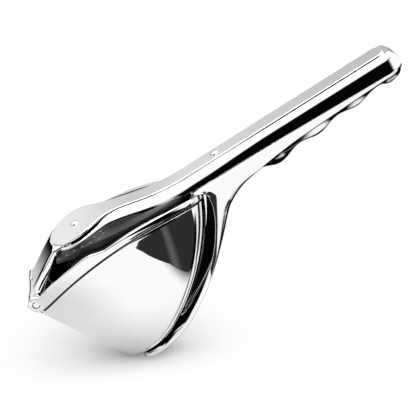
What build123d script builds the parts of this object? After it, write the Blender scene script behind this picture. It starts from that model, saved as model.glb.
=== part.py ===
"""Chrome lemon squeezer: a hull-shaped bowl on a horned lower grip, and a hinged presser lever."""
import os
from math import atan2, cos, degrees, pi, radians, sin, sqrt

from build123d import *

os.makedirs("parts", exist_ok=True)

# Stand: the grip rises to the right by this angle when the tool stands on the floor
lean = 31.0

# Clearances
seam = 0.4
side_gap = 0.35
pin_fit = 0.04
seat = 0.1
sieve_gap = 0.4

# Hinge
pin_r = 1.6
ear_r = 3.9
ear_gap = 12.0
ear_thick = 4.2
knuckle_r = 3.5

# Bowl hull
hull_front = -6.5
hull_back = 94.0
hull_keel = 20.0
hull_depth = 66.0
hull_half = 22.0
nose_slope = 0.40
nose_start = 8.0
hull_clip = -6.6
floor_ratio = 0.91
back_power = 1.4
back_root_power = 0.65
top_ratio = 0.3
wall = 2.3
floor_wall = 2.6
floor_round = 3.5

# Rim strip round the mouth of the bowl
rim_arch = 107.0
rim_crown_u = 49.0
rim_crown_v = 6.4
rim_high = 6.0
rim_low = 3.2
rim_step = 44.0
rim_out = 0.9

# Pouring slot in the nose
slot_long = 28.0
slot_wide = 5.0
slot_down = 32.0

# Upper lever
cover_thick = 1.0
top_head = 18.5
top_grip = 10.6
head_u = 35.0
head_r = 14.5
throat_u = 92.0
arm_half = 10.3
arm_under_head = 14.2
arm_under_back = 4.6
arm_back = 92.5
strap_half = 10.6
strap_angle = 36.5
strap_thick = 3.8
strap_bow = 1.0

# Grip
grip_half = 9.2
grip_end = 202.3
end_r = 8.6
end_v = 2.9
part_drop = 3.2
flat_half = 5.4
shoulder_drop = 1.7
lip_drop = 0.4

# Finger waves under the lower grip
wave_count = 4
wave_pitch = 21.5
wave_first = 133.0
wave_deep = 1.4
belly_throat = 9.6
belly_end = 3.6
rib_half = 7.2
rib_deep = 12.0

# Horn round the back of the bowl
horn_half = 13.0
horn_tip_half = 10.5
horn_thick = 3.0
horn_root = 9.0
tip_u = 30.0
tip_rise = 9.3
tip_v = -hull_depth * floor_ratio + tip_rise
tip_r = 12.4

# Cover
disc_r = 13.6
strip_half = 5.0
rivet_r = 2.5
rivet_shank_r = 1.4
rivet_rise = 0.7
rivet_bite = 2.6
grip_rivet_u = 108.0
grip_rivet_deep = 4.0

# Presser
press_gap = 1.4
press_thick = 3.2
plunger_drop = 18.0
press_screw_u = 83.0

# Strainer
sieve_ratio = 0.32
sieve_thick = 1.2
sieve_hole_r = 1.3
sieve_pitch = 7.0
sieve_rows = 9
sieve_lanes = 3

# Rivets that hold the horn to the bowl
horn_rivet_r = 1.6
horn_rivet_head = 2.9
horn_rivet_rise = 1.0
horn_rivet_u = (28.0, 34.5)

# Screw that holds the back of the presser
screw_r = 1.4
screw_head_r = 2.7
screw_bite = 2.6


def hull_back_at(t):
    """Back of the hull on the mid-plane at depth fraction t."""
    if t <= 0:
        return hull_back
    return hull_keel + (hull_back - hull_keel) * (1 - t ** back_power) ** back_root_power


def hull_front_at(t):
    """Front of the hull on the mid-plane at depth fraction t."""
    return hull_front + nose_slope * (hull_depth * t - nose_start)


def hull_half_at(t):
    """Half width of the hull at depth fraction t."""
    if t <= 0:
        return hull_half
    return hull_half * (1 - t ** 2.2) ** 0.6


# Where the hinge sits, so that the whole tool is centred on the origin and stands on the floor
c_lean = cos(radians(lean))
s_lean = sin(radians(lean))
end_u = grip_end - end_r
reach = end_u * c_lean - end_v * s_lean + end_r
collar_v = rim_crown_v - rim_arch + sqrt((rim_arch + rim_high) ** 2 - (hull_clip - rim_crown_u) ** 2)
front_reach = max(ear_r, collar_v * s_lean - hull_clip * c_lean)
hinge_x = (front_reach - reach) / 2
# It stands on the rounded corner under the nose or on the tip of the horn, whichever reaches lower
corner_v = -hull_depth * floor_ratio + floor_round
corner_u = hull_front_at(-corner_v / hull_depth) + floor_round * sqrt(1 + nose_slope ** 2)
stand_corner = floor_round - corner_u * s_lean - corner_v * c_lean
stand_tip = tip_r - tip_u * s_lean - tip_v * c_lean
hinge_z = max(stand_corner, stand_tip)
along = Vector(c_lean, 0, s_lean)
upward = Vector(-s_lean, 0, c_lean)
side = Plane(origin=(hinge_x, 0, hinge_z), x_dir=along, z_dir=(0, -1, 0))


def level(v):
    """Plane parallel to the grip's top at height v above the hinge."""
    return Plane(origin=side.from_local_coords((0, v, 0)), x_dir=along, z_dir=upward)


def ribs(grow, top, bottom):
    """Ellipses the hull is lofted through, grown outward by grow, from one depth fraction to another."""
    count = 6
    faces = []
    for i in range(count):
        t = -top + (bottom + top) * i / (count - 1)
        front = hull_front_at(t) - grow
        back = hull_back_at(t) + grow
        with BuildSketch(level(-hull_depth * t)) as rib:
            with Locations(((front + back) / 2, 0)):
                Ellipse((back - front) / 2, hull_half_at(t) + grow)
        faces.append(rib.sketch.face())
    return faces


def arch(rise):
    """Height above the crown centre of an arch that runs rise above the crease under the rim."""
    return rim_arch + rise


# Centre of the arches that bound the rim strip
arch_v = rim_crown_v - rim_arch


def arch_at(u, rise):
    """Height of such an arch at u."""
    return arch_v + sqrt(arch(rise) ** 2 - (u - rim_crown_u) ** 2)


# Rim strip: the hull grown a little, kept between two arches, with a step down behind the front collar
strip_from = hull_clip
strip_to = hull_back + 6
with BuildPart() as rim_strip:
    loft(ribs(rim_out, top_ratio, floor_ratio))
    with BuildSketch(side):
        with BuildLine():
            l1 = ThreePointArc((strip_from, arch_at(strip_from, 0)), (rim_crown_u, arch_at(rim_crown_u, 0)),
                               (strip_to, arch_at(strip_to, 0)))
            l2 = Line(l1 @ 1, (strip_to, arch_at(strip_to, rim_low)))
            strip_mid = (strip_to + rim_step) / 2
            l3 = ThreePointArc(l2 @ 1, (strip_mid, arch_at(strip_mid, rim_low)),
                               (rim_step + 2, arch_at(rim_step + 2, rim_low)))
            l4 = Line(l3 @ 1, (rim_step, arch_at(rim_step, rim_high)))
            l5 = ThreePointArc(l4 @ 1, (rim_step / 2, arch_at(rim_step / 2, rim_high)),
                               (strip_from, arch_at(strip_from, rim_high)))
            Line(l5 @ 1, l1 @ 0)
        make_face()
    extrude(amount=2 * hull_half, both=True, mode=Mode.INTERSECT)

# Bowl: hull below the crease, rim strip, hinge ears and pouring slot
ear_out = ear_gap / 2 + ear_thick
ear_foot = -nose_start - 3
ear_foot_u = hull_front_at(-ear_foot / hull_depth) + ear_thick
slot_t = slot_down / hull_depth
with BuildPart() as bowl:
    loft(ribs(0, top_ratio, floor_ratio))
    fillet(bowl.faces().sort_by(Axis(side.origin, upward))[0].edges(), floor_round)
    with BuildSketch(side):
        with BuildLine():
            l1 = ThreePointArc((strip_from, arch_at(strip_from, 0)), (rim_crown_u, arch_at(rim_crown_u, 0)),
                               (strip_to, arch_at(strip_to, 0)))
            Polyline(l1 @ 1, (strip_to, -2 * hull_depth), (strip_from, -2 * hull_depth), l1 @ 0)
        make_face()
    extrude(amount=2 * hull_half, both=True, mode=Mode.INTERSECT)
    add(rim_strip.part)
    loft(ribs(-wall, top_ratio + 0.1, floor_ratio - floor_wall / hull_depth), mode=Mode.SUBTRACT)
    with BuildSketch(side):
        Circle(ear_r)
        Polygon((-ear_r * 0.8, -ear_r * 0.6), (ear_foot_u, ear_foot), (ear_r + 2, ear_foot), (ear_r + 2, 0),
                (0, ear_r * 0.5), align=None)
    extrude(amount=ear_out, both=True)
    with BuildSketch(side):
        Circle(knuckle_r + 2 * side_gap)
        Polygon((0, 0), (-ear_r - 1, -knuckle_r), (-ear_r - 1, ear_r + 1), (3 * ear_r, 3 * ear_r),
                (3 * ear_r, 0), (ear_r, ear_foot - 1), (0, -knuckle_r), align=None)
    extrude(amount=ear_gap / 2, both=True, mode=Mode.SUBTRACT)
    with BuildSketch(side):
        Circle(pin_r + pin_fit / 2)
    extrude(amount=2 * ear_out, both=True, mode=Mode.SUBTRACT)
    nose = Plane(origin=side.from_local_coords((hull_front_at(slot_t), -slot_down, 0)), x_dir=(0, 1, 0),
                 z_dir=-along)
    with BuildSketch(nose.offset(-wall - 2 * slot_wide)):
        SlotOverall(slot_long, slot_wide, rotation=90)
    extrude(amount=wall + slot_long, mode=Mode.SUBTRACT)
    with BuildSketch(level(-hull_depth)):
        with Locations(*[(u, 0) for u in horn_rivet_u]):
            Circle(horn_rivet_r + seat)
    extrude(amount=hull_depth / 2, mode=Mode.SUBTRACT)
bowl.part.label = "bowl"
export_step(bowl.part, "parts/bowl.step")

# Hinge pin
with BuildPart() as hinge_pin:
    with BuildSketch(side):
        Circle(pin_r)
    extrude(amount=ear_out + 0.5, both=True)
    chamfer(hinge_pin.edges().filter_by(GeomType.CIRCLE), 0.4)
hinge_pin.part.label = "hinge_pin"
export_step(hinge_pin.part, "parts/hinge_pin.step")


def part_at(u):
    """Height of the parting line between the closed grips."""
    return arm_under_back - part_drop * (u - arm_back) / (grip_end - arm_back)


def end_u_at(v):
    """Where the rounded end of the grips lies at height v."""
    return end_u + sqrt(end_r ** 2 - (v - end_v) ** 2)


# Lower handle: horn round the bowl, throat and lower grip
horn_gap = 0.6
horn_groove = 3.0
loop_r = 5.0
loop_lip = 0.8
horn_wall_u = hull_back + horn_gap + 1.2 * rim_out
low_line = -3.4
low_rise = 0.045


def horn_inner(t):
    """Inner curve of the horn, just clear of the back of the hull."""
    groove = horn_groove * sin(pi * min(1.0, max(0.0, t) / floor_ratio))
    room = horn_gap + groove + 1.2 * rim_out * max(0.0, 1 - max(0.0, t) / 0.3)
    return Vector(hull_back_at(t) + room, -hull_depth * t)


def horn_outer(t):
    """Outer curve of the horn, thick at the throat and thin round the bottom."""
    run = horn_inner(t + 0.01) - horn_inner(t - 0.01)
    normal = Vector(-run.Y, run.X).normalized()
    return horn_inner(t) + normal * (horn_thick + horn_root * max(0.0, 1 - t / 0.55) ** 2)


def wave_at(u):
    """Underside of the lower grip: a line that rises to the end, with one wave to a finger."""
    run = (u - wave_first) / (end_u - wave_first)
    turn = 2 * pi * (u - wave_first) / wave_pitch
    return -belly_throat + (belly_throat - belly_end) * run - wave_deep * cos(turn)


floor_v = -hull_depth * floor_ratio - 3 * seat
tip_in = tip_u - sqrt(tip_r ** 2 - (floor_v - tip_v) ** 2)
# Finger waves: a straight round-bottomed rib, scalloped by the waves and rounded at the end of the grip
rib_start = wave_first - 0.9 * wave_pitch
rib_top = part_at(grip_end) - 2 * seam
rib_rise = (belly_throat - belly_end) / (end_u - wave_first)
rib_low = wave_at(wave_first)
rib_dir = (along + upward * rib_rise).normalized()
rib_seat = side.from_local_coords((rib_start, rib_low - rib_rise * (wave_first - rib_start) + rib_deep, 0))
with BuildPart() as wave_rib:
    with BuildSketch(Plane(origin=rib_seat, x_dir=(0, 1, 0), z_dir=rib_dir)):
        Ellipse(rib_half, rib_deep)
    extrude(amount=2 * grip_end)
    with BuildSketch(side):
        with BuildLine():
            quarter = wave_pitch / 4
            w1 = Spline((rib_start + 1, low_line), *[(u, wave_at(u)) for u in
                        [wave_first + quarter * k for k in range(4 * wave_count - 4)]],
                        (end_u, end_v - end_r + seam), tangents=[(1, -0.8), (1, 0)])
            mid_rib = end_v - 0.7 * end_r
            w2 = ThreePointArc(w1 @ 1, (end_u_at(mid_rib) - seam, mid_rib),
                               (end_u_at(rib_top) - seam, rib_top))
            Polyline(w2 @ 1, (rib_start + 1, rib_top), w1 @ 0)
        make_face()
    extrude(amount=2 * rib_half, both=True, mode=Mode.INTERSECT)

rivet_seat = tip_v - tip_r + horn_rivet_rise + seat
with BuildPart() as lower_handle:
    with BuildSketch(side):
        with BuildLine():
            top_in = Vector(horn_wall_u - loop_r, part_at(horn_wall_u) - seam)
            loop_v = top_in.Y - loop_lip - loop_r
            loop_mid = Vector(top_in.X + loop_r * sin(pi / 4), loop_v + loop_r * cos(pi / 4))
            l0 = Line(top_in, (top_in.X, top_in.Y - loop_lip))
            l1 = ThreePointArc(l0 @ 1, loop_mid, (horn_wall_u, loop_v))
            loop_t = -loop_v / hull_depth
            l2 = Spline(l1 @ 1, *[horn_inner(loop_t + (0.85 - loop_t) * k / 6) for k in range(1, 7)],
                        (hull_back_at(floor_ratio) - 6, floor_v), tangents=[(0, -1), (-1, 0)])
            l3 = Line(l2 @ 1, (tip_in, floor_v))
            corner = radians(235)
            l4 = ThreePointArc(l3 @ 1, (tip_u + tip_r * cos(corner), tip_v + tip_r * sin(corner)),
                               (tip_u, tip_v - tip_r))
            l5 = Spline(l4 @ 1, *[horn_outer(t) for t in (0.8, 0.62, 0.44, 0.3, 0.18)],
                        (wave_first, low_line), tangents=[(1, 0), (1, 0)])
            low_end = low_line + low_rise * (grip_end - wave_first)
            l6 = Line(l5 @ 1, (end_u_at(low_end), low_end))
            end_top = part_at(grip_end) - seam
            mid_end = (low_end + end_top) / 2
            l7 = ThreePointArc(l6 @ 1, (end_u_at(mid_end), mid_end), (end_u_at(end_top), end_top))
            Line(l7 @ 1, top_in)
        make_face()
    extrude(amount=horn_half, both=True)
    add(wave_rib.part)
    # Narrower from the throat to the grip, seen from above
    with BuildSketch(level(0)):
        with BuildLine():
            m1 = Line((-hull_back, horn_half), (horn_wall_u + horn_thick, horn_half))
            m2 = Spline(m1 @ 1, (wave_first, grip_half), tangents=[(1, 0), (1, 0)])
            m3 = Line(m2 @ 1, (end_u, grip_half))
            m4 = ThreePointArc(m3 @ 1, (grip_end + 1, 0), (end_u, -grip_half))
            m5 = Line(m4 @ 1, (wave_first, -grip_half))
            m6 = Spline(m5 @ 1, (horn_wall_u + horn_thick, -horn_half), tangents=[(-1, 0), (-1, 0)])
            m7 = Line(m6 @ 1, (-hull_back, -horn_half))
            Line(m7 @ 1, m1 @ 0)
        make_face()
    extrude(amount=2 * hull_depth, both=True, mode=Mode.INTERSECT)
    # Narrower toward the tip, seen along the grip
    with BuildSketch(Plane(origin=side.from_local_coords((-hull_back, 0, 0)), x_dir=(0, 1, 0), z_dir=along)):
        Polygon((-horn_half, 20), (-horn_half, -10), (-horn_tip_half, tip_v - tip_r),
                (horn_tip_half, tip_v - tip_r), (horn_half, -10), (horn_half, 20), align=None)
    extrude(amount=2 * grip_end, mode=Mode.INTERSECT)
    # Rivet holes with sunk seats for the outer heads
    with BuildSketch(level(-hull_depth - tip_r)):
        with Locations(*[(u, 0) for u in horn_rivet_u]):
            Circle(horn_rivet_r + seat)
    extrude(amount=hull_depth / 2, mode=Mode.SUBTRACT)
    with BuildSketch(level(rivet_seat)):
        with Locations(*[(u, 0) for u in horn_rivet_u]):
            Circle(horn_rivet_head + seat)
    extrude(amount=-tip_r, mode=Mode.SUBTRACT)
lower_handle.part.label = "lower_handle"
export_step(lower_handle.part, "parts/lower_handle.step")

# Upper lever: knuckle, strap, pressing head, arm and upper grip
strap_dir = Vector(cos(radians(strap_angle)), sin(radians(strap_angle)))
strap_nrm = Vector(-strap_dir.Y, strap_dir.X)
head_top = top_head - cover_thick
grip_top = top_grip - cover_thick
# The top comes down from the head to the grip in two equal arcs
bend = degrees(2 * atan2(head_top - grip_top, throat_u - head_u))
bend_r = (throat_u - head_u) / (2 * sin(radians(bend)))


def strap_point(s, n):
    """Point s along the strap from the hinge and n across it."""
    return strap_dir * s + strap_nrm * n


half_strap = strap_thick / 2
bow_out = half_strap - strap_bow
bow_in = strap_bow - half_strap
out_s = (head_top - bow_out * strap_nrm.Y) / strap_dir.Y
in_s = (arm_under_head - bow_in * strap_nrm.Y) / strap_dir.Y
ear_clear = ear_r + seam
# Plane of the arm's underside, where the presser sits
arm_slope = (arm_under_head - arm_under_back) / (arm_back - head_u)
mouth_mid = (hull_front_at(0) + hull_back) / 2
mouth_long = (hull_back - hull_front_at(0)) / 2 - wall - press_gap
mouth_half = hull_half - wall - press_gap
press_from = strap_point(in_s, bow_in).X + 1
press_to = mouth_mid + mouth_long
press_mid = (press_from + press_to) / 2
press_long = (press_to - press_from) / 2
tilt = Vector(1, -arm_slope).normalized()
press_dir = along * tilt.X + upward * tilt.Y
press_up = upward * tilt.X - along * tilt.Y
press = Plane(origin=side.from_local_coords((head_u, arm_under_head, 0)), x_dir=press_dir, z_dir=press_up)
press_screw_x = (press_screw_u - head_u) / tilt.X

# Roof with sloped shoulders that the lever is cut to
roof_from = -30
with BuildPart() as roof:
    with BuildLine(side) as crown:
        c1 = Line((roof_from, head_top), (head_u, head_top))
        c2 = JernArc(c1 @ 1, (1, 0), bend_r, -bend)
        c3 = JernArc(c2 @ 1, c2 % 1, bend_r, bend)
        Line(c3 @ 1, (grip_end + 20, grip_top))
    roof_start = side.from_local_coords((roof_from, head_top, 0))
    with BuildSketch(Plane(origin=roof_start, x_dir=(0, 1, 0), z_dir=along)):
        roof_half = head_r + 4
        roof_deep = head_top - arm_under_back + 8
        Polygon((-roof_half, -roof_deep), (roof_half, -roof_deep), (roof_half, -shoulder_drop - lip_drop),
                (grip_half, -shoulder_drop), (flat_half, 0), (-flat_half, 0), (-grip_half, -shoulder_drop),
                (-roof_half, -shoulder_drop - lip_drop), align=None)
    sweep(path=crown.wire())

with BuildPart() as upper_lever:
    with BuildSketch(side):
        with BuildLine():
            bow_mid = strap_point(0.4 * out_s, half_strap + strap_bow)
            a1 = ThreePointArc(strap_point(pin_r, half_strap), bow_mid, strap_point(out_s, bow_out))
            a2 = Line(a1 @ 1, (head_u, head_top))
            a3 = JernArc(a2 @ 1, (1, 0), bend_r, -bend)
            a3 = JernArc(a3 @ 1, a3 % 1, bend_r, bend)
            a4 = Line(a3 @ 1, (end_u_at(grip_top), grip_top))
            end_low = part_at(grip_end)
            mid_up = (grip_top + end_low) / 2
            a5 = ThreePointArc(a4 @ 1, (end_u_at(mid_up), mid_up), (end_u_at(end_low), end_low))
            a6 = Polyline(a5 @ 1, (arm_back, arm_under_back), (head_u, arm_under_head),
                          strap_point(in_s, bow_in), strap_point(pin_r, -half_strap), a1 @ 0)
        make_face()
    extrude(amount=head_r, both=True)
    # Plan outline of strap, round head, arm and grip
    with BuildSketch(level(0)):
        with Locations((head_u, 0)):
            Circle(head_r)
        neck_u = head_u + 1.1 * head_r
        Polygon((head_u, head_r), (neck_u, arm_half), (neck_u, -arm_half), (head_u, -head_r), align=None)
        Polygon((-20, strap_half), (head_u, strap_half), (head_u, -strap_half), (-20, -strap_half),
                align=None)
        Polygon((head_u - 1, arm_half), (arm_back, arm_half), (arm_back, -arm_half), (head_u - 1, -arm_half),
                align=None)
        with BuildLine():
            g1 = Spline((arm_back, arm_half), (wave_first, grip_half), tangents=[(1, 0), (1, 0)])
            g2 = Line(g1 @ 1, (end_u, grip_half))
            g3 = ThreePointArc(g2 @ 1, (grip_end + 1, 0), (end_u, -grip_half))
            g4 = Line(g3 @ 1, (wave_first, -grip_half))
            g5 = Spline(g4 @ 1, (arm_back, -arm_half), tangents=[(-1, 0), (-1, 0)])
            Line(g5 @ 1, g1 @ 0)
        make_face()
    extrude(amount=2 * hull_depth, both=True, mode=Mode.INTERSECT)
    # Sloped shoulders on both sides of the flat top
    add(roof.part, mode=Mode.INTERSECT)
    # Room for the ears, then the knuckle between them
    with BuildSketch(side):
        Circle(ear_clear)
    extrude(amount=2 * head_r, both=True, mode=Mode.SUBTRACT)
    with BuildSketch(side):
        Circle(knuckle_r)
        with BuildLine():
            Polyline(strap_point(0, half_strap), strap_point(ear_clear + 2, half_strap),
                     strap_point(ear_clear + 2, -half_strap), strap_point(0, -half_strap), close=True)
        make_face()
    extrude(amount=ear_gap / 2 - side_gap, both=True)
    with BuildSketch(side):
        Circle(pin_r + pin_fit)
    extrude(amount=2 * head_r, both=True, mode=Mode.SUBTRACT)
    # Holes for the rivets
    with BuildSketch(level(head_top + 1)):
        with Locations((head_u, 0), (grip_rivet_u, 0)):
            Circle(rivet_shank_r + seat)
    extrude(amount=-head_top - 1 + arm_under_back / 2, mode=Mode.SUBTRACT)
    # Blind hole for the presser's screw
    with BuildSketch(press):
        with Locations((press_screw_x, 0)):
            Circle(screw_r + seat)
    extrude(amount=screw_bite + seat, mode=Mode.SUBTRACT)
upper_lever.part.label = "upper_lever"
export_step(upper_lever.part, "parts/upper_lever.step")

# Cover: disc over the head and strip along the flat top
with BuildPart() as lever_cover:
    with BuildLine(side) as rail:
        c1 = Line((-10, head_top), (head_u, head_top))
        c2 = JernArc(c1 @ 1, (1, 0), bend_r, -bend)
        c3 = JernArc(c2 @ 1, c2 % 1, bend_r, bend)
        Line(c3 @ 1, (grip_end + 20, grip_top))
    with BuildSketch(Plane(origin=side.from_local_coords((-10, head_top, 0)), x_dir=(0, 1, 0), z_dir=along)):
        with Locations((0, cover_thick / 2)):
            Rectangle(3 * disc_r, cover_thick)
    sweep(path=rail.wire())
    with BuildSketch(level(0)):
        with Locations((head_u, 0)):
            Circle(disc_r)
        with BuildLine():
            k1 = Spline((head_u + disc_r * 0.6, disc_r * 0.8), (head_u + 2.1 * disc_r, strip_half),
                        tangents=[(0.8, -0.6), (1, 0)])
            k2 = Line(k1 @ 1, (end_u, strip_half))
            k3 = ThreePointArc(k2 @ 1, (end_u + 0.45 * end_r, 0), (end_u, -strip_half))
            k4 = Line(k3 @ 1, (head_u + 2.1 * disc_r, -strip_half))
            k5 = Spline(k4 @ 1, (head_u + disc_r * 0.6, -disc_r * 0.8), tangents=[(-1, 0), (-0.8, -0.6)])
            Line(k5 @ 1, k1 @ 0)
        make_face()
    extrude(amount=2 * hull_depth, both=True, mode=Mode.INTERSECT)
    with BuildSketch(level(top_head + 5)):
        with Locations((head_u, 0), (grip_rivet_u, 0)):
            Circle(rivet_shank_r + seat)
    extrude(amount=-30, mode=Mode.SUBTRACT)
lever_cover.part.label = "lever_cover"
export_step(lever_cover.part, "parts/lever_cover.step")

# Two rivets through the cover
with BuildPart() as cover_rivets:
    head_deep = head_top - arm_under_head + rivet_bite
    for u, top, deep in ((head_u, top_head, head_deep), (grip_rivet_u, top_grip, grip_rivet_deep)):
        with BuildSketch(level(top)):
            with Locations((u, 0)):
                Circle(rivet_r)
        extrude(amount=rivet_rise, taper=35)
        with BuildSketch(level(top)):
            with Locations((u, 0)):
                Circle(rivet_shank_r)
        extrude(amount=-cover_thick - deep)
cover_rivets.part.label = "cover_rivets"
export_step(cover_rivets.part, "parts/cover_rivets.step")

# Presser: a plate that closes the mouth under the arm, with a blunt plunger below it
with BuildPart() as presser:
    with BuildSketch(press.offset(-press_thick)):
        with Locations((mouth_mid - head_u, 0)):
            Ellipse(mouth_long, mouth_half)
        with Locations((press_from - head_u - mouth_long, 0)):
            Rectangle(2 * mouth_long, 3 * mouth_half, mode=Mode.SUBTRACT)
    extrude(amount=press_thick)
    with BuildSketch(press.offset(-press_thick - plunger_drop)):
        with Locations((press_mid - head_u - 2, 0)):
            Ellipse(0.45 * press_long, 0.45 * mouth_half)
    with BuildSketch(press.offset(-press_thick)):
        with Locations((press_mid - head_u - 4, 0)):
            Ellipse(0.72 * press_long, 0.72 * mouth_half)
    loft()
    fillet(presser.faces().sort_by(Axis(press.origin, press_up))[0].edges(), 4)
    with BuildSketch(press):
        with Locations((press_screw_x, 0)):
            Circle(screw_r + seat)
    extrude(amount=-press_thick - 1, mode=Mode.SUBTRACT)
    with BuildSketch(level(arm_under_head + 1)):
        with Locations((head_u, 0)):
            Circle(rivet_shank_r + seat)
    extrude(amount=-1 - rivet_bite - seat, mode=Mode.SUBTRACT)
    # Flat above the head, where the arm runs level
    with BuildSketch(side):
        Polygon((press_from - 20, arm_under_head), (head_u, arm_under_head), (head_u, top_head + 20),
                (press_from - 20, top_head + 20), align=None)
    extrude(amount=2 * mouth_half, both=True, mode=Mode.SUBTRACT)
presser.part.label = "presser"
export_step(presser.part, "parts/presser.step")

# Screw from below into the arm
with BuildPart() as presser_screw:
    with BuildSketch(press.offset(-press_thick)):
        with Locations((press_screw_x, 0)):
            Circle(screw_r)
    extrude(amount=press_thick + screw_bite)
    with BuildSketch(press.offset(-press_thick)):
        with Locations((press_screw_x, 0)):
            Circle(screw_head_r)
    extrude(amount=-screw_r)
presser_screw.part.label = "presser_screw"
export_step(presser_screw.part, "parts/presser_screw.step")

# Rivets from the horn through the floor of the bowl
floor_in = -hull_depth * floor_ratio + floor_wall
with BuildPart() as horn_rivets:
    for u in horn_rivet_u:
        with BuildSketch(level(rivet_seat)):
            with Locations((u, 0)):
                Circle(horn_rivet_r)
        extrude(amount=floor_in - rivet_seat)
        with BuildSketch(level(rivet_seat)):
            with Locations((u, 0)):
                Circle(horn_rivet_head)
        extrude(amount=-horn_rivet_rise)
        with BuildSketch(level(floor_in)):
            with Locations((u, 0)):
                Circle(horn_rivet_head)
        extrude(amount=horn_rivet_rise)
horn_rivets.part.label = "horn_rivets"
export_step(horn_rivets.part, "parts/horn_rivets.step")

# Strainer: a perforated plate that drops on to the taper of the bowl
sieve_front = hull_front_at(sieve_ratio) + wall + sieve_gap
sieve_back = hull_back_at(sieve_ratio) - wall - sieve_gap
sieve_half = hull_half_at(sieve_ratio) - wall - sieve_gap
with BuildPart() as strainer:
    with BuildSketch(level(-hull_depth * sieve_ratio)):
        with Locations(((sieve_front + sieve_back) / 2, 0)):
            Ellipse((sieve_back - sieve_front) / 2, sieve_half)
        with Locations(((sieve_front + sieve_back) / 2, 0)):
            with GridLocations(sieve_pitch, sieve_pitch, sieve_rows, sieve_lanes):
                Circle(sieve_hole_r, mode=Mode.SUBTRACT)
    extrude(amount=sieve_thick)
strainer.part.label = "strainer"
export_step(strainer.part, "parts/strainer.step")
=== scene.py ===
"""Chrome lemon squeezer, closed, standing on the corner under its nose in soft studio light."""
import logging
from dataclasses import dataclass
from enum import Enum
from math import atan2, cos, pi, radians, sin, sqrt
from typing import Callable, Sequence

import bmesh
import bpy
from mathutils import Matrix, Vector


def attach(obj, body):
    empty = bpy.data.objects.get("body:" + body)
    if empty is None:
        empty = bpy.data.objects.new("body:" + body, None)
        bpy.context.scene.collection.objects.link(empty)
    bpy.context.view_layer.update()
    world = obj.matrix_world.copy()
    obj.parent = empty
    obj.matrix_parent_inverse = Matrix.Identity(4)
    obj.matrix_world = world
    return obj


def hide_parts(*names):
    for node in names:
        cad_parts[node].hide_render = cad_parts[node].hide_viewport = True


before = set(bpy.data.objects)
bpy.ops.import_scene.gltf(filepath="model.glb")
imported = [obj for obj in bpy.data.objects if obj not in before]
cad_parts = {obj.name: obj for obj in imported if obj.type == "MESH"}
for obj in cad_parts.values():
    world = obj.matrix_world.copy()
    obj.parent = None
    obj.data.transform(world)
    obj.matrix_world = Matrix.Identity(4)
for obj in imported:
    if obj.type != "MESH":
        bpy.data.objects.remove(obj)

log = logging.getLogger("lemon_squeezer")

MM = 0.001
SAME_PLACE = 1e-7
NYLON_IOR = 1.53
WHITE = "#FFFFFF"
Flat = tuple[float, float]
Ring = list[Vector]
Corner = tuple[float, float, float]
Tree = bpy.types.NodeTree
Socket = bpy.types.NodeSocket
Solid = bpy.types.Object
Finish = bpy.types.Material


class Body(str, Enum):
    """Moving groups of the tool."""

    BASE = "base"
    LEVER = "lever"


class Slot(str, Enum):
    """Finishes of the record that drawn pieces have."""

    CHROME = "chrome"
    PRESSER = "presser"


def hex_linear(code: str) -> tuple[float, float, float, float]:
    """Turns an sRGB hex colour into linear values.

    Args:
        code: Six hex digits with a leading hash.

    Returns:
        Red, green, blue and an alpha of one.
    """
    parts = [int(code[i:i + 2], 16) / 255 for i in (1, 3, 5)]
    linear = [p / 12.92 if p <= 0.04045 else ((p + 0.055) / 1.055) ** 2.4 for p in parts]
    return (linear[0], linear[1], linear[2], 1.0)


def add_node(tree: Tree, kind: str, settings: dict | None = None,
             links: dict | None = None) -> bpy.types.Node:
    """Adds a node with its settings and links.

    Args:
        tree: Node tree that gets the node.
        kind: Blender's name for the node.
        settings: Properties by name, and input values by index or name as ("in", key).
        links: Output sockets by the input they go to.

    Returns:
        The new node.
    """
    node = tree.nodes.new(kind)
    for key, value in (settings or {}).items():
        if isinstance(key, tuple):
            node.inputs[key[1]].default_value = value
        else:
            setattr(node, key, value)
    for key, source in (links or {}).items():
        tree.links.new(source, node.inputs[key])
    return node


def ramp(tree: Tree, value: Socket, low: float, high: float) -> Socket:
    """Turns a value into a soft step from 0 at low to 1 at high.

    Args:
        tree: Node tree that gets the step.
        value: Socket with the value.
        low: Value where the step starts.
        high: Value where it ends; below low, the step falls instead.

    Returns:
        Socket with the step.
    """
    start, end = (0.0, 1.0) if low < high else (1.0, 0.0)
    step = add_node(tree, "ShaderNodeMapRange",
                    {"interpolation_type": "SMOOTHSTEP", ("in", "From Min"): min(low, high),
                     ("in", "From Max"): max(low, high), ("in", "To Min"): start, ("in", "To Max"): end},
                    {"Value": value})
    return step.outputs[0]


def combine(tree: Tree, how: str, a: Socket,
            b: Socket | float) -> Socket:
    """Joins two values by an operation of Blender's Math node.

    Args:
        tree: Node tree that gets the node.
        how: Name of the operation.
        a: Socket with the first value.
        b: Second value, as a socket or a number.

    Returns:
        Socket with the result.
    """
    node = add_node(tree, "ShaderNodeMath", {"operation": how}, {0: a})
    if isinstance(b, float):
        node.inputs[1].default_value = b
    else:
        tree.links.new(b, node.inputs[1])
    return node.outputs[0]


def along(tree: Tree, way: Socket, axis: tuple[float, float, float]) -> Socket:
    """Gives the share of a direction that lies along an axis.

    Args:
        tree: Node tree that gets the node.
        way: Socket with the direction.
        axis: The axis.

    Returns:
        Socket with the share.
    """
    node = add_node(tree, "ShaderNodeVectorMath", {"operation": "DOT_PRODUCT", ("in", 1): axis}, {0: way})
    return node.outputs["Value"]


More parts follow.
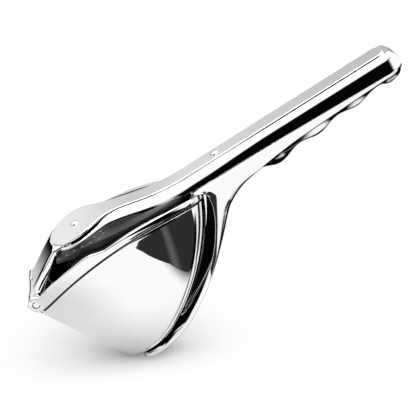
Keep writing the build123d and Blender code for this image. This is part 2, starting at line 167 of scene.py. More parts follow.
def shade(tree: Tree, share: Socket, low: Socket | str,
          high: Socket | str) -> Socket:
    """Mixes two colours.

    Args:
        tree: Node tree that gets the mix.
        share: Socket with the share of the second colour.
        low: First colour, as a socket or in hex.
        high: Second colour, the same way.

    Returns:
        Socket with the mixed colour.
    """
    mix = add_node(tree, "ShaderNodeMix", {"data_type": "RGBA"}, {0: share})
    for slot, colour in ((6, low), (7, high)):
        if isinstance(colour, str):
            mix.inputs[slot].default_value = hex_linear(colour)
        else:
            tree.links.new(colour, mix.inputs[slot])
    return mix.outputs[2]


def grain(tree: Tree, size_mm: float, detail: float = 2.0, stretch: Corner | None = None) -> Socket:
    """Gives a soft grain on the piece's own coordinates.

    Args:
        tree: Node tree that gets the grain.
        size_mm: Size of the grain.
        detail: How fine it gets.
        stretch: Scale of each axis.

    Returns:
        Socket with the grain.
    """
    where = add_node(tree, "ShaderNodeTexCoord").outputs["Object"]
    if stretch:
        where = add_node(tree, "ShaderNodeMapping", {("in", "Scale"): stretch}, {"Vector": where}).outputs[0]
    settings = {("in", "Scale"): 1 / (size_mm * MM), ("in", "Detail"): detail}
    return add_node(tree, "ShaderNodeTexNoise", settings, {"Vector": where}).outputs[0]


def empty_material(name: str) -> tuple[Finish, Tree]:
    """Makes a material without nodes, and gives it with its tree."""
    material = bpy.data.materials.new(name)
    material.use_nodes = True
    material.node_tree.nodes.clear()
    return material, material.node_tree


def new_material(name: str) -> tuple[Finish, Tree, bpy.types.Node]:
    """Makes an empty material with a surface shader.

    Args:
        name: Name of the finish.

    Returns:
        The material, its tree and its Principled shader.
    """
    material, tree = empty_material(name)
    shader = add_node(tree, "ShaderNodeBsdfPrincipled")
    add_node(tree, "ShaderNodeOutputMaterial", links={"Surface": shader.outputs[0]})
    return material, tree, shader


@dataclass(frozen=True)
class PolishedChrome:
    """Bright chrome plate over polished zinc: a mirror with the faintest haze left by the buffing wheel."""

    name: str = "polished_chrome_plate"
    colour: str = "#FAFAFB"
    roughness_low: float = 0.022
    roughness_high: float = 0.05
    haze_mm: float = 14.0
    haze_detail: float = 3.0
    haze_low: float = 0.35
    haze_high: float = 0.7

    def make(self) -> Finish:
        """Builds the material."""
        material, tree, shader = new_material(self.name)
        shader.inputs["Metallic"].default_value = 1.0
        shader.inputs["Base Color"].default_value = hex_linear(self.colour)
        polish = add_node(tree, "ShaderNodeMapRange",
                          {("in", "From Min"): self.haze_low, ("in", "From Max"): self.haze_high,
                           ("in", "To Min"): self.roughness_low, ("in", "To Max"): self.roughness_high},
                          {"Value": grain(tree, self.haze_mm, self.haze_detail)})
        tree.links.new(polish.outputs[0], shader.inputs["Roughness"])
        return material


@dataclass(frozen=True)
class BrushedSteel:
    """Stainless sheet and rivets, brushed lengthways: soft streaks and a grey sheen."""

    name: str = "brushed_stainless_steel"
    colour: str = "#B9BABC"
    streak_mm: float = 0.5
    streak_stretch: float = 0.06
    roughness_low: float = 0.22
    roughness_high: float = 0.42

    def make(self) -> Finish:
        """Builds the material."""
        material, tree, shader = new_material(self.name)
        shader.inputs["Metallic"].default_value = 1.0
        shader.inputs["Base Color"].default_value = hex_linear(self.colour)
        streak = grain(tree, self.streak_mm, stretch=(self.streak_stretch, 1.0, 1.0))
        sheen = add_node(tree, "ShaderNodeMapRange",
                         {("in", "To Min"): self.roughness_low, ("in", "To Max"): self.roughness_high},
                         {"Value": streak})
        tree.links.new(sheen.outputs[0], shader.inputs["Roughness"])
        return material


@dataclass(frozen=True)
class BlackNylon:
    """Black moulded nylon: a deep satin with the fine grain of the mould."""

    name: str = "black_moulded_nylon"
    colour: str = "#0B0B0C"
    grain_mm: float = 0.6
    roughness: float = 0.42
    bump: float = 0.15
    bump_mm: float = 0.05

    def make(self) -> Finish:
        """Builds the material."""
        material, tree, shader = new_material(self.name)
        shader.inputs["Base Color"].default_value = hex_linear(self.colour)
        shader.inputs["Roughness"].default_value = self.roughness
        shader.inputs["IOR"].default_value = NYLON_IOR
        bump = add_node(tree, "ShaderNodeBump",
                        {("in", "Strength"): self.bump, ("in", "Distance"): self.bump_mm * MM},
                        {"Height": grain(tree, self.grain_mm)})
        tree.links.new(bump.outputs[0], shader.inputs["Normal"])
        return material


@dataclass(frozen=True)
class NubPaintedHighlight:
    """Moulded nubs on the black presser: the same nylon, coloured pale grey as a painted highlight, mixed at
    random with a darker grey.
    """

    name: str = "nylon_nubs_painted_highlight"
    # Pale grey: painted highlight on the nubs.
    colour: str = "#77787A"
    worn: str = "#4A4B4D"
    wear_mm: float = 2.0
    roughness: float = 0.3

    def make(self) -> Finish:
        """Builds the material."""
        material, tree, shader = new_material(self.name)
        shader.inputs["Roughness"].default_value = self.roughness
        shader.inputs["IOR"].default_value = NYLON_IOR
        # Painted highlight grey, mixed at random with a darker grey.
        colour = shade(tree, grain(tree, self.wear_mm), self.colour, self.worn)
        tree.links.new(colour, shader.inputs["Base Color"])
        return material


@dataclass(frozen=True)
class ToolFrame:
    """The tool's own axes: u along the grip from the hinge, v square to it, w toward the near side; in mm."""

    lean: float = 31.0
    hinge_x: float = -84.314
    hinge_z: float = 43.384

    def at(self, u: float, v: float, w: float) -> Vector:
        """Gives the place in the row frame, in metres.

        Args:
            u: Distance along the grip.
            v: Height above the hinge, square to the grip.
            w: Distance from the mid-plane toward the near side.

        Returns:
            The point.
        """
        c = cos(radians(self.lean))
        s = sin(radians(self.lean))
        return Vector((self.hinge_x + u * c - v * s, -w, self.hinge_z + u * s + v * c)) * MM

    def direction(self, u: float, v: float, w: float) -> Vector:
        """Gives a direction in the row frame."""
        return (self.at(u, v, w) - self.at(0, 0, 0)).normalized()


TOOL = ToolFrame()


def spread(low: float, high: float, count: int) -> list[float]:
    """Gives evenly spaced values from low to high, both included."""
    return [low + (high - low) * i / (count - 1) for i in range(count)]


def ease(x: float) -> float:
    """Goes smoothly from 0 to 1 as x does."""
    x = min(1.0, max(0.0, x))
    return 0.5 - 0.5 * cos(pi * x)


def blend(a: float, b: float, x: float) -> float:
    """Goes smoothly from a to b as x goes from 0 to 1."""
    return a + (b - a) * ease(x)


def rounded_loop(corners: Sequence[Corner], steps: int = 6) -> list[Flat]:
    """Rounds the corners of a closed outline.

    Args:
        corners: Each corner's two coordinates and how far its rounding reaches along its edges.
        steps: Facets in each rounding.

    Returns:
        The outline, with the same number of points for every corner.
    """
    points: list[Flat] = []
    count = len(corners)
    for i, (x, y, reach) in enumerate(corners):
        here = Vector((x, y))
        legs = []
        for other in (corners[i - 1], corners[(i + 1) % count]):
            leg = Vector(other[:2]) - here
            size = leg.length
            legs.append(leg * (min(reach, 0.48 * size) / size) if size > 1e-9 else Vector((0, 0)))
        for k in range(steps + 1):
            f = k / steps
            p = here + legs[0] * (1 - f) ** 2 + legs[1] * f ** 2
            points.append((p.x, p.y))
    return points


def mirrored(side: Sequence[Corner]) -> list[Corner]:
    """Adds the mirror image of one side's corners, so that both sides make a loop."""
    return list(side) + [(-x, y, reach) for x, y, reach in reversed(side)]


def hermite(f: float, start: Vector | float, lead: Vector | float, end: Vector | float,
            tail: Vector | float) -> Vector | float:
    """Goes from start to end as f goes from 0 to 1, leaving along lead and arriving along tail."""
    return (start * (2 * f ** 3 - 3 * f ** 2 + 1) + lead * (f ** 3 - 2 * f ** 2 + f)
            + end * (3 * f ** 2 - 2 * f ** 3) + tail * (f ** 3 - f ** 2))


def curve_through(keys: Sequence[Flat], per: int) -> list[Flat]:
    """Draws a smooth curve through points.

    Args:
        keys: Points that the curve passes through.
        per: Steps from each point to the next.

    Returns:
        Points along the curve.
    """
    pts = [Vector(k) for k in keys]
    pts = [pts[0] * 2 - pts[1]] + pts + [pts[-1] * 2 - pts[-2]]
    out: list[Flat] = []
    for i in range(1, len(pts) - 2):
        p0, p1, p2, p3 = pts[i - 1:i + 3]
        d0, d1, d2 = (max(1e-6, (b - a).length ** 0.5) for a, b in ((p0, p1), (p1, p2), (p2, p3)))
        m1 = ((p1 - p0) / d0 - (p2 - p0) / (d0 + d1) + (p2 - p1) / d1) * d1
        m2 = ((p2 - p1) / d1 - (p3 - p1) / (d1 + d2) + (p3 - p2) / d2) * d1
        last = i == len(pts) - 3
        for k in range(per + (1 if last else 0)):
            p = hermite(k / per, p1, m1, p2, m2)
            out.append((p.x, p.y))
    return out


def skin(shell: bmesh.types.BMesh, rings: Sequence[Ring]) -> None:
    """Adds a closed tube through rings of equal count, with its ends closed by fans.

    Args:
        shell: Mesh that gets the tube.
        rings: Loops of points, in order.
    """
    rows = [[shell.verts.new(p) for p in ring] for ring in rings]
    count = len(rows[0])
    for a, b in zip(rows, rows[1:]):
        for i in range(count):
            j = (i + 1) % count
            shell.faces.new((a[i], a[j], b[j], b[i]))
    for row in (rows[0], rows[-1]):
        middle = shell.verts.new(sum((v.co for v in row), Vector()) / count)
        for i in range(count):
            shell.faces.new((row[i], row[(i + 1) % count], middle))


def link_mesh(name: str, mesh: bpy.types.Mesh) -> Solid:
    """Puts a mesh in the scene."""
    thing = bpy.data.objects.new(name, mesh)
    bpy.context.scene.collection.objects.link(thing)
    return thing


def shell_solid(name: str, shell: bmesh.types.BMesh) -> Solid:
    """Turns a shell into an object whose faces look outward."""
    bmesh.ops.recalc_face_normals(shell, faces=shell.faces)
    mesh = bpy.data.meshes.new(name)
    shell.to_mesh(mesh)
    shell.free()
    return link_mesh(name, mesh)


def shell_object(name: str, shell: bmesh.types.BMesh, material: Finish,
                 flats: bool = True) -> Solid:
    """Turns a finished shell into a smooth object in the scene.

    Args:
        name: Name of the piece.
        shell: Mesh to take over.
        material: Finish of the piece.
        flats: Keeps large faces flat beside their roundings.

    Returns:
        The object.
    """
    bmesh.ops.remove_doubles(shell, verts=shell.verts, dist=SAME_PLACE)
    bmesh.ops.dissolve_degenerate(shell, edges=shell.edges, dist=SAME_PLACE)
    piece = shell_solid(name, shell)
    piece.data.shade_smooth()
    piece.data.materials.append(material)
    if flats:
        keep_flats(piece)
    return piece


def tube(name: str, rings: Sequence[Ring], material: Finish, flats: bool = True) -> Solid:
    """Builds a closed piece through rings of equal count.

    Args:
        name: Name of the piece.
        rings: Loops of points, in order.
        material: Finish of the piece.
        flats: Keeps large faces flat beside their roundings.

    Returns:
        The object.
    """
    shell = bmesh.new()
    skin(shell, rings)
    return shell_object(name, shell, material, flats)


def keep_flats(piece: Solid) -> None:
    """Lets large faces set the shading beside their roundings."""
    even = piece.modifiers.new("even_flats", "WEIGHTED_NORMAL")
    even.weight = 50
    even.keep_sharp = True


def freeze(piece: Solid) -> None:
    """Bakes a piece's modifiers into a plain mesh."""
    graph = bpy.context.evaluated_depsgraph_get()
    mesh = bpy.data.meshes.new_from_object(piece.evaluated_get(graph))
    piece.modifiers.clear()
    old = piece.data
    piece.data = mesh
    bpy.data.meshes.remove(old)


def carve(piece: Solid, cutter: Solid, sharp: float = 35.0) -> None:
    """Cuts one solid out of a piece.

    Args:
        piece: Piece that is cut.
        cutter: Solid that is taken out, and then removed.
        sharp: Angle in degrees from which an edge stays crisp.
    """
    cut = piece.modifiers.new("cut", "BOOLEAN")
    cut.operation = "DIFFERENCE"
    cut.solver = "EXACT"
    cut.object = cutter
    freeze(piece)
    bpy.data.objects.remove(cutter)
    piece.data.shade_smooth()
    piece.data.set_sharp_from_angle(angle=radians(sharp))


def prism(name: str, outline: Sequence[Flat], place: Callable[[float, float, float], Vector], low: float,
          high: float) -> Solid:
    """Makes a straight-sided solid to cut with.

    Args:
        name: Name of the solid.
        outline: Closed outline.
        place: Turns an outline point and a depth into a place.
        low: Depth where it starts.
        high: Depth where it ends.

    Returns:
        The solid.
    """
    shell = bmesh.new()
    skin(shell, [[place(x, y, d) for x, y in outline] for d in (low, high)])
    return shell_solid(name, shell)


def merge(name: str, pieces: Sequence[Solid]) -> Solid:
    """Joins finished solids of one finish into one piece.

    Args:
        name: Name of the joined piece.
        pieces: Solids that are taken over.

    Returns:
        The joined piece.
    """
    for piece in pieces:
        if piece.modifiers:
            freeze(piece)
    first = pieces[0]
    with bpy.context.temp_override(active_object=first, object=first, selected_objects=list(pieces),
                                   selected_editable_objects=list(pieces)):
        bpy.ops.object.join()
    first.name = name
    first.data.name = name
    return first


def place_piece(piece: Solid, body: Body, slot: Slot, *nodes: str) -> None:
    """Ties a finished piece to the frame.

    Args:
        piece: Piece to tie.
        body: Group that it moves with.
        slot: Finish in the record.
        nodes: Solids of the frame that it stands for.
    """
    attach(piece, body.value)
    if nodes:
        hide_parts(*nodes)
    log.info("piece %s: body %s, slot %s, for %s", piece.name, body.value, slot.value, nodes or "nothing")


def circle(radius: float, count: int) -> list[Flat]:
    """Gives the points of a circle round the hinge."""
    turns = [2 * pi * i / count for i in range(count)]
    return [(radius * cos(a), radius * sin(a)) for a in turns]


@dataclass(frozen=True)
class Hinge:
    """Sizes at the front hinge."""

    pin_r: float = 1.6
    pin_fit: float = 0.4
    pin_edge: float = 0.3
    ear_r: float = 3.9
    ear_gap: float = 12.0
    ear_thick: float = 4.2
    ear_out: float = 14.6
    ear_edge: float = 0.8
    knuckle_r: float = 3.5
    side_gap: float = 0.35
    drill_reach: float = 30.0
    hole_facets: int = 48
    facets: int = 72

    def drill(self, piece: Solid) -> None:
        """Cuts the hole of the pin."""
        hole = circle(self.pin_r + self.pin_fit, self.hole_facets)
        carve(piece, prism("pin_hole", hole, TOOL.at, -self.drill_reach, self.drill_reach))

    def lobe(self, radius: float, inside: float, outside: float, edge: float) -> list[Ring]:
        """Draws a round bar across the tool, with rounded rims.

        Args:
            radius: Its radius.
            inside: Where it starts.
            outside: Where it ends.
            edge: Size of the roundings.

        Returns:
            Its cross-sections.
        """
        rims = [(inside + edge * (1 - cos(a)), edge * (1 - sin(a))) for a in spread(0, pi / 2, 6)]
        rims += [(outside - edge * (1 - sin(a)), edge * (1 - cos(a))) for a in spread(0, pi / 2, 8)]
        return [[TOOL.at(u, v, w) for u, v in circle(radius - inset, self.facets)] for w, inset in rims]

    def pin(self, material: Finish) -> Solid:
        """Builds the pin."""
        bar = self.lobe(self.pin_r, -self.ear_out, self.ear_out, self.pin_edge)
        return tube("hinge_pin_chrome", bar, material)


@dataclass
class Bowl:
    """Hull-shaped bowl with its rim strip, hinge ears and pouring slot."""

    hinge: Hinge
    front: float = -6.5
    back: float = 94.0
    keel: float = 20.0
    depth: float = 66.0
    half: float = 22.0
    nose_slope: float = 0.40
    nose_start: float = 8.0
    clip: float = -6.6
    floor_ratio: float = 0.91
    back_power: float = 1.4
    back_root_power: float = 0.65
    half_power: float = 2.2
    half_root_power: float = 0.6
    wall: float = 2.3
    floor_wall: float = 2.6
    floor_round: float = 3.5
    arch: float = 107.0
    crown_u: float = 49.0
    crown_v: float = 6.4
    rim_high: float = 6.0
    rim_low: float = 3.2
    rim_step: float = 44.0
    rim_lead: float = 9.0
    rim_run: float = 11.0
    rim_out: float = 0.9
    groove: float = 1.5
    groove_high: float = 1.25
    # Black band of painted shade in the rim groove.
    shade_band_gap: float = 0.04
    shade_band_deep: float = 0.3
    slot_long: float = 28.0
    slot_wide: float = 5.0
    slot_down: float = 32.0
    slot_before: float = 12.0
    slot_behind: float = 14.0
    ear_heel: float = 2.0
    ear_foot: float = 3.0
    turns: int = 256

    def back_at(self, t: float) -> float:
        """Gives the back of the hull at depth fraction t."""
        if t <= 0:
            return self.back
        return self.keel + (self.back - self.keel) * (1 - t ** self.back_power) ** self.back_root_power

    def front_at(self, t: float) -> float:
        """Gives the front of the hull at depth fraction t."""
        return self.front + self.nose_slope * (self.depth * t - self.nose_start)

    def half_at(self, t: float) -> float:
        """Gives the half width of the hull at depth fraction t."""
        if t <= 0:
            return self.half
        return self.half * (1 - t ** self.half_power) ** self.half_root_power

    def hull(self, turn: float, v: float, grow: float) -> tuple[float, float, float]:
        """Gives a point of the hull.

        Args:
            turn: Angle round the hull, from the back.
            v: Height.
            grow: How far outside the hull the point is.

        Returns:
            The point in the tool's axes.
        """
        t = -v / self.depth
        front = self.front_at(t) - grow
        back = self.back_at(t) + grow
        u = (front + back) / 2 + (back - front) / 2 * cos(turn)
        return (max(u, self.clip), v, (self.half_at(t) + grow) * sin(turn))

    def arch_at(self, u: float) -> float:
        """Gives the height of the crease under the rim at u."""
        return self.crown_v - self.arch + sqrt(self.arch ** 2 - (u - self.crown_u) ** 2)

    def crease(self, turn: float) -> tuple[float, float]:
        """Finds where the crease under the rim crosses the hull.

        Args:
            turn: Angle round the hull.

        Returns:
            Height of the crease and of the rim strip above it.
        """
        v = 0.0
        for _ in range(20):
            v = self.arch_at(self.hull(turn, v, 0)[0])
        u = self.hull(turn, v, 0)[0]
        rise = blend(self.rim_high, self.rim_low, (u - self.rim_step + self.rim_lead) / self.rim_run)
        return v, rise

    def profile(self, turn: float) -> list[Flat]:
        """Draws the wall at one angle, from the middle of the floor outside to the floor inside.

        Args:
            turn: Angle round the hull.

        Returns:
            Height and growth of each point.
        """
        low = -self.depth * self.floor_ratio
        r = self.floor_round
        v, rise = self.crease(turn)
        top = v + rise
        out = [(low + r * (1 - cos(a)), -r * (1 - sin(a))) for a in spread(0, pi / 2, 9)]
        lip = v - self.groove_high
        out += [(h, 0.0) for h in spread(low + r, lip - 0.25, 48)[1:]]
        out += [(lip - 0.1, -0.02), (lip - 0.02, -0.08), (lip, -0.2), (lip, -self.groove)]
        steps = 5
        ledge = rounded_loop([(v, -self.groove, 0.08), (v, self.rim_out, 0.3), (top, self.rim_out, 0.6),
                              (top, -self.wall, 0.5), (low, -self.wall, 0.1), (low, -self.groove, 0.1)],
                             steps)
        out += ledge[:4 * (steps + 1)]
        out += [(h, -self.wall) for h in spread(top - 0.8, low + self.floor_wall, 20)]
        return out

    def line(self, material: Finish) -> Solid:
        """Builds a black band of painted shade that lies in the groove under the rim.

        Args:
            material: Black finish.

        Returns:
            The finished piece.
        """
        shell = bmesh.new()
        rows = []
        for a in self.angles():
            v = self.crease(a)[0]
            low, high = v - self.groove_high + self.shade_band_gap, v - self.shade_band_gap
            deep = -self.groove + self.shade_band_gap
            section = ((low, deep), (high, deep), (high, -self.shade_band_deep), (low, -self.shade_band_deep))
            rows.append([shell.verts.new(TOOL.at(*self.hull(a, h, grow))) for h, grow in section])
        for one, two in zip(rows, rows[1:] + rows[:1]):
            for i, j in ((0, 1), (1, 2), (2, 3), (3, 0)):
                shell.faces.new((one[i], one[j], two[j], two[i]))
        return shell_object("rim_groove_painted_shade", shell, material)

    def angles(self) -> list[float]:
        """Lists the angles round the hull, closer where the rim strip steps down."""
        turns = [2 * pi * i / self.turns for i in range(self.turns)]
        mid = (self.front + self.back) / 2
        span = (self.back - self.front) / 2
        for u in spread(self.rim_step - 0.6, self.rim_step + 2.6, 9):
            a = pi / 2 - (u - mid) / span
            turns += [a, 2 * pi - a]
        turns.sort()
        return [a for i, a in enumerate(turns) if i == 0 or a - turns[i - 1] > 1e-4]

    def ear_outline(self, inset: float) -> list[Flat]:
        """Draws an ear and its foot, drawn in by an inset."""
        r = self.hinge.ear_r - inset
        start, end = radians(217), radians(6)
        arc = [(r * cos(a), r * sin(a)) for a in spread(start, end, 40)]
        heel = self.hinge.ear_r + self.ear_heel - inset
        foot = -self.nose_start - self.ear_foot
        toe = self.front_at(-foot / self.depth) + self.hinge.ear_thick
        return arc + [(heel, 0.0), (heel, foot + inset), (toe + inset / 2, foot + inset)]

    def build(self, material: Finish) -> Solid:
        """Builds the bowl.

        Args:
            material: Chrome.

        Returns:
            The finished piece.
        """
        columns = []
        for a in self.angles():
            columns.append([TOOL.at(*self.hull(a, v, grow)) for v, grow in self.profile(a)])
        hull = tube("bowl_hull", [list(row) for row in zip(*columns)], material, flats=False)
        half_long = (self.slot_long - self.slot_wide) / 2
        r = self.slot_wide / 2
        outline = [(half_long + r * sin(a), r * cos(a)) for a in spread(0, pi, 13)]
        outline += [(-half_long - r * sin(a), -r * cos(a)) for a in spread(0, pi, 13)]
        nose_u = self.front_at(self.slot_down / self.depth)
        carve(hull, prism("slot", outline, lambda x, y, d: TOOL.at(d, -self.slot_down + x, y),
                          nose_u - self.slot_before, nose_u + self.slot_behind))
        ears = []
        for flip in (1, -1):
            inside = self.hinge.ear_gap / 2
            outside = inside + self.hinge.ear_thick
            rings = []
            for w, inset in ((inside, 0.5), (inside + 0.5, 0.0), (outside - 0.9, 0.0), (outside - 0.55, 0.1),
                             (outside - 0.25, 0.3), (outside - 0.07, 0.6), (outside, 1.0)):
                rings.append([TOOL.at(u, v, flip * w) for u, v in self.ear_outline(inset)])
            spans = sorted((flip * (outside - 1), flip * self.hinge.ear_out))
            for part in (rings, self.hinge.lobe(self.hinge.ear_r, *spans, self.hinge.ear_edge)):
                ear = tube("ear", part, material)
                freeze(ear)
                self.hinge.drill(ear)
                ears.append(ear)
        return merge("bowl_chrome", [hull] + ears)


@dataclass
class LeverLines:
    """Lines that the grips share."""

    cover_thick: float = 1.0
    top_head: float = 18.5
    top_grip: float = 10.6
    head_u: float = 35.0
    head_r: float = 14.5
    neck: float = 1.1
    throat_u: float = 92.0
    arm_half: float = 10.3
    arm_under_head: float = 14.2
    arm_under_back: float = 4.6
    arm_back: float = 92.5
    grip_half: float = 9.2
    grip_end: float = 202.3
    end_r: float = 8.6
    end_v: float = 2.9
    part_drop: float = 3.2
    flat_half: float = 5.4
    shoulder_drop: float = 1.7
    seam: float = 0.12
    wave_first: float = 133.0
    rivet_u: float = 108.0
    rivet_r: float = 2.0
    rivet_high: float = 1.2

    @property
    def end_u(self) -> float:
        """Gives the place where the rounded end starts."""
        return self.grip_end - self.end_r

    def part_at(self, u: float) -> float:
        """Gives the height of the parting line between the closed grips."""
        return self.arm_under_back - self.part_drop * (u - self.arm_back) / (self.grip_end - self.arm_back)

    def end_top(self, u: float) -> float:
        """Gives the height of the rounded end's upper half at u."""
        return self.end_v + sqrt(max(0.0, self.end_r ** 2 - max(0.0, u - self.end_u) ** 2))

    def top_at(self, u: float) -> float:
        """Gives the height of the lever's flat top under the cover."""
        head = self.top_head - self.cover_thick
        grip = self.top_grip - self.cover_thick
        bend = 2 * atan2(head - grip, self.throat_u - self.head_u)
        r = (self.throat_u - self.head_u) / (2 * sin(bend))
        mid = (self.head_u + self.throat_u) / 2
        if u <= self.head_u:
            return head
        if u <= mid:
            return head - r + sqrt(r ** 2 - (u - self.head_u) ** 2)
        if u <= self.throat_u:
            return grip + r - sqrt(r ** 2 - (self.throat_u - u) ** 2)
        return min(grip, self.end_top(u))

    def under_at(self, u: float) -> float:
        """Gives the height of the lever's underside."""
        if u <= self.head_u:
            return self.arm_under_head
        if u <= self.arm_back:
            slope = (self.arm_under_head - self.arm_under_back) / (self.arm_back - self.head_u)
            return self.arm_under_head - slope * (u - self.head_u)
        return self.part_at(u)

    def half_at(self, u: float) -> float:
        """Gives the half width of the lever, seen from above."""
        if u < self.head_u:
            return sqrt(max(0.0, self.head_r ** 2 - (self.head_u - u) ** 2))
        if u < self.head_u + self.neck * self.head_r:
            return blend(self.head_r, self.arm_half, (u - self.head_u) / (self.neck * self.head_r))
        if u < self.arm_back:
            return self.arm_half
        if u < self.end_u:
            run = (u - self.arm_back) / (self.wave_first - self.arm_back)
            return blend(self.arm_half, self.grip_half, run)
        return self.grip_half * sqrt(max(0.0, 1 - ((u - self.end_u) / (self.end_r + 1)) ** 2))


@dataclass
class LowerHandle:
    """Horn round the back of the bowl, throat, and lower grip with finger waves."""

    bowl: Bowl
    lines: LeverLines
    wave_pitch: float = 21.5
    wave_deep: float = 1.4
    belly_throat: float = 9.6
    belly_end: float = 3.6
    rib_half: float = 7.2
    low_line: float = -3.4
    low_rise: float = 0.045
    horn_half: float = 13.0
    horn_tip_half: float = 10.5
    throat_taper: float = 0.1
    throat_lead: float = 34.0
    throat_tail: float = 38.0
    throat_edge: float = 2.2
    grip_edge: float = 1.6
    edge_u: float = 125.0
    edge_run: float = 15.0
    draw: float = 0.5
    draw_u: float = 120.0
    draw_run: float = 30.0
    lip_long: float = 5.0
    horn_thick: float = 3.0
    horn_root: float = 9.0
    horn_gap: float = 0.6
    horn_groove: float = 3.0
    loop_r: float = 5.0
    loop_lip: float = 0.8
    tip_u: float = 30.0
    tip_rise: float = 9.3
    tip_r: float = 12.4

    @property
    def tip_v(self) -> float:
        """Gives the height of the middle of the rounded tip."""
        return -self.bowl.depth * self.bowl.floor_ratio + self.tip_rise

    @property
    def wall_u(self) -> float:
        """Gives the place of the horn's inner wall beside the rim."""
        return self.bowl.back + self.horn_gap + 1.2 * self.bowl.rim_out

    def inner(self, t: float) -> Vector:
        """Gives a point of the horn's inner curve."""
        deep = max(t, 0.0)
        groove = self.horn_groove * sin(pi * min(1.0, deep / self.bowl.floor_ratio))
        room = self.horn_gap + groove + 1.2 * self.bowl.rim_out * max(0.0, 1 - deep / 0.3)
        return Vector((self.bowl.back_at(t) + room, -self.bowl.depth * t))

    def outer(self, t: float) -> Vector:
        """Gives a point of the horn's outer curve."""
        run = self.inner(t + 0.01) - self.inner(t - 0.01)
        normal = Vector((-run.y, run.x)).normalized()
        return self.inner(t) + normal * (self.horn_thick + self.horn_root * max(0.0, 1 - t / 0.55) ** 2)

    def wave_at(self, u: float) -> float:
        """Gives the underside of the finger waves at u."""
        first = self.lines.wave_first
        run = (u - first) / (self.lines.end_u - first)
        turn = 2 * pi * (u - first) / self.wave_pitch
        return -self.belly_throat + (self.belly_throat - self.belly_end) * run - self.wave_deep * cos(turn)

    def low_at(self, u: float) -> float:
        """Gives the lower edge of the grip's side at u."""
        return self.low_line + self.low_rise * max(0.0, u - self.lines.wave_first)

    def under_at(self, u: float) -> float:
        """Gives the underside of the waves, which end in a lip round the end of the grip."""
        r = self.lines.end_r - self.lines.seam
        past = max(0.0, u - self.lines.end_u)
        lip = self.lines.end_v - sqrt(max(0.0, r ** 2 - past ** 2))
        wave = self.wave_at(min(u, self.lines.end_u))
        return blend(wave, lip, (u - self.lines.end_u + self.lip_long) / self.lip_long)

    def stations(self) -> tuple[list[Flat], list[Flat]]:
        """Draws the inner and outer edge from the tip of the horn to the grip.

        Returns:
            Matching points of both edges.
        """
        floor = -self.bowl.depth * self.bowl.floor_ratio - 0.3
        back = self.bowl.back_at(self.bowl.floor_ratio)
        bottom = self.tip_v - self.tip_r
        tip_in = self.tip_u - sqrt(self.tip_r ** 2 - (floor - self.tip_v) ** 2)
        inner: list[Flat] = [(u, floor) for u in (tip_in + 0.4, tip_in + 2.5, tip_in + 6, self.tip_u, back - 6)]
        outer: list[Flat] = [(tip_in + 0.4, floor - 0.3)]
        for a in (radians(231), radians(247), radians(270)):
            outer.append((self.tip_u + self.tip_r * cos(a), self.tip_v + self.tip_r * sin(a)))
        low = self.outer(0.8)
        outer.append(((self.tip_u + low.x) / 2 - 2, bottom + 1.5))
        for t in (0.84, 0.77, 0.68, 0.58, 0.48, 0.38, 0.28, 0.18):
            inner.append(tuple(self.inner(t)))
            outer.append(tuple(self.outer(t)))
        start = self.outer(0.18)
        lead = (self.outer(0.16) - self.outer(0.2)).normalized() * self.throat_lead
        end = Vector((self.lines.wave_first, self.low_line))
        tail = Vector((self.throat_tail, 0.0))
        corner = self.lines.part_at(self.wall_u) - self.lines.seam
        inner += [tuple(self.inner(0.08)), (self.wall_u, 1.2), (self.wall_u + 0.35, corner - 0.9),
                  (self.wall_u + 1.6, corner - 0.15)]
        inner += [(u, self.lines.part_at(u) - self.lines.seam) for u in (104.0, 116.0, self.lines.wave_first)]
        for f in (0.14, 0.27, 0.4, 0.52, 0.67, 0.83, 1.0):
            p = hermite(f, start, lead, end, tail)
            outer.append((p.x, p.y))
        return curve_through(inner, 8), curve_through(outer, 8)

    def half_width(self, u: float, v: float) -> float:
        """Gives the half width of horn, throat and grip, which narrow evenly downward and toward the grip."""
        low = self.tip_v - self.tip_r
        lean = (self.horn_half - self.horn_tip_half) / -low
        throat = self.horn_half - self.throat_taper * max(0.0, u - self.wall_u - 3 * self.horn_thick)
        if u >= self.lines.end_u:
            return self.lines.half_at(u)
        return max(throat, self.lines.grip_half) + lean * (v - 5)

    def ring(self, a: Flat, b: Flat, rib: float) -> Ring:
        """Draws one cross-section.

        Args:
            a: Inner edge.
            b: Outer edge.
            rib: How far the rounded rib stands below the outer edge.

        Returns:
            The cross-section's points.
        """
        top, low = Vector(a), Vector(b)
        run = low - top
        wide_top = self.half_width(*a)
        wide_low = self.half_width(*b) - self.draw * ease((b[0] - self.draw_u) / self.draw_run)
        deep = max(run.length, 1e-6)
        soft = self.grip_edge + self.throat_edge * ease((self.edge_u - b[0]) / self.edge_run)
        steps = 6
        corners = [(0.0, -wide_top, 0.15), (0.0, wide_top, 0.15), (deep, wide_low, soft), (deep, -wide_low, soft)]
        loop = [(x / deep, w) for x, w in rounded_loop(corners, steps)]
        split = 3 * (steps + 1)
        head, tail = loop[:split], loop[split:]
        points = [(top + run * x, w) for x, w in head]
        edge = head[-1][1]
        for w in spread(edge, -edge, 27)[1:-1]:
            bulge = max(0.0, 1 - (abs(w) / self.rib_half) ** 2) ** 0.5
            points.append((low + Vector((0.0, -rib * bulge)), w))
        points += [(top + run * x, w) for x, w in tail]
        return [TOOL.at(p.x, p.y, w) for p, w in points]

